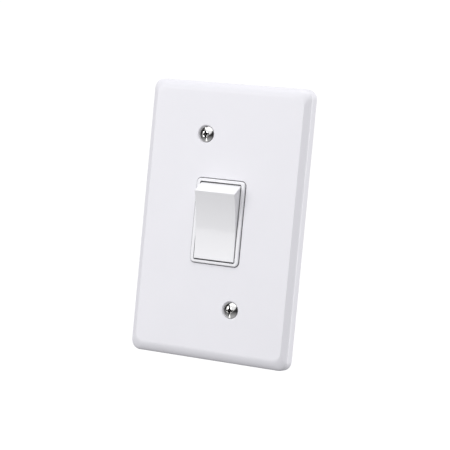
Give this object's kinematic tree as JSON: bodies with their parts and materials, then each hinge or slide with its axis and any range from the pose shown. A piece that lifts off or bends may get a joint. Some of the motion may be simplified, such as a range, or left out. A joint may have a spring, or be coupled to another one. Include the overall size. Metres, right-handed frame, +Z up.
{
  "type": "rocker light switch on a wall plate",
  "caption": "Single-lever rocker light switch on a tall white cover plate held by screws, with its steel yoke, contacts and terminals.",
  "frame": {"origin": "middle of the plate on the wall plane, which the back rim of the plate rests on", "axes": "+Z up, the front faces -Y, +X to the right of someone facing the switch, +Y into the wall"},
  "size_m": [0.076, 0.0348, 0.118],
  "materials": {
    "cover_plastic": "glossy moulded urea",
    "frame_plastic": "glossy moulded polycarbonate",
    "rocker_plastic": "glossy moulded polycarbonate",
    "nickel_screw": "bright nickel plate",
    "zinc_plated_steel": "zinc plated sheet",
    "zinc_screw": "zinc plate",
    "fibre_washer": "red vulcanised fibre",
    "brass_screw": "satin brass",
    "housing_plastic": "satin moulded nylon",
    "plunger_nylon": "natural nylon",
    "spring_steel": "drawn wire",
    "contact_copper": "rolled copper",
    "contact_silver": "silver alloy",
    "terminal_brass": "milled brass",
    "terminal_screw_steel": "zinc plate"
  },
  "bodies": {
    "switch_body": {"cover_plate": "cover_plastic", "cover_screw_upper": "nickel_screw", "cover_screw_lower": "nickel_screw", "yoke": "zinc_plated_steel", "box_screw_upper": "zinc_screw", "box_screw_lower": "zinc_screw", "retaining_washer_upper": "fibre_washer", "retaining_washer_lower": "fibre_washer", "earth_screw": "brass_screw", "earth_cup_washer": "brass_screw", "switch_frame": "frame_plastic", "housing": "housing_plastic", "fixed_contact_rivet": "contact_silver", "fixed_contact_strip": "terminal_brass", "common_strip": "terminal_brass", "common_terminal_block": "terminal_brass", "load_terminal_block": "terminal_brass", "common_terminal_screw": "terminal_screw_steel", "load_terminal_screw": "terminal_screw_steel"},
    "rocker": {"rocker": "rocker_plastic", "plunger_spring": "spring_steel"},
    "plunger": {"plunger": "plunger_nylon"},
    "rocking_contact": {"rocking_contact": "contact_copper", "moving_contact_rivet": "contact_silver"}
  },
  "joints": [
    {"name": "rocker_hinge", "type": "hinge", "parent": "switch_body", "child": "rocker", "pos_m": [0, 0.00205, 0], "axis": [-1, 0, 0], "range_deg": [0, 18]},
    {"name": "contact_hinge", "type": "hinge", "parent": "switch_body", "child": "rocking_contact", "pos_m": [0, 0.01054, 0], "axis": [1, 0, 0], "range_deg": [0, 18]},
    {"name": "plunger_slide", "type": "slide", "parent": "rocker", "child": "plunger", "axis": [0, 0.9877, 0.1564], "range_m": [-0.0015, 0], "stiffness_N_per_m": 400, "springref_m": 0.003, "deforming": ["plunger_spring"]}
  ],
  "couplings": [
    {"joint": "contact_hinge", "follows": "rocker_hinge", "ratio": 1}
  ]
}
